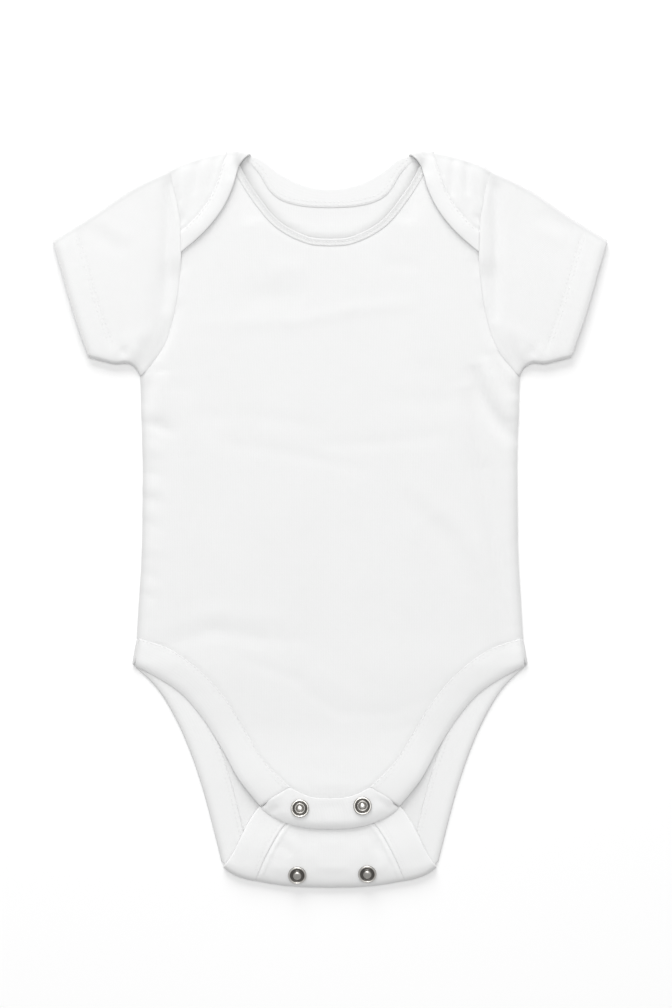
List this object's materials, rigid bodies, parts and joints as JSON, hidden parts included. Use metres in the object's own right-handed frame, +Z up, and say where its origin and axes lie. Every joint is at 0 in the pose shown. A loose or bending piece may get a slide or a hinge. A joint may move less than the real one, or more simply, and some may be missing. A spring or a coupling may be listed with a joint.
{
  "type": "baby bodysuit",
  "caption": "Short-sleeved baby bodysuit with an envelope neck, bound leg openings and a snap crotch, laid flat with its front up.",
  "frame": {"origin": "middle of the outline on the surface that the garment lies on", "axes": "+X across the chest to the viewer's right, +Y from the crotch to the neck, +Z up, away from the surface"},
  "size_m": [0.311, 0.4137, 0.008],
  "materials": {
    "white_jersey": "matt single jersey knit",
    "white_rib": "matt fine rib knit",
    "nickel": "satin nickel plate"
  },
  "bodies": {
    "root": {"back_panel": "white_jersey", "front_panel": "white_jersey", "sleeve_left": "white_jersey", "sleeve_right": "white_jersey", "neck_binding_back": "white_rib", "neck_binding_front": "white_rib", "leg_binding_left": "white_rib", "leg_binding_right": "white_rib", "crotch_band": "white_rib", "snap_cap_left": "nickel", "snap_cap_right": "nickel", "snap_socket_left": "nickel", "snap_socket_right": "nickel", "snap_stud_left": "nickel", "snap_stud_right": "nickel", "snap_ring_left": "nickel", "snap_ring_right": "nickel", "open_stud_left": "nickel", "open_stud_right": "nickel", "open_ring_left": "nickel", "open_ring_right": "nickel"}
  },
  "joints": []
}
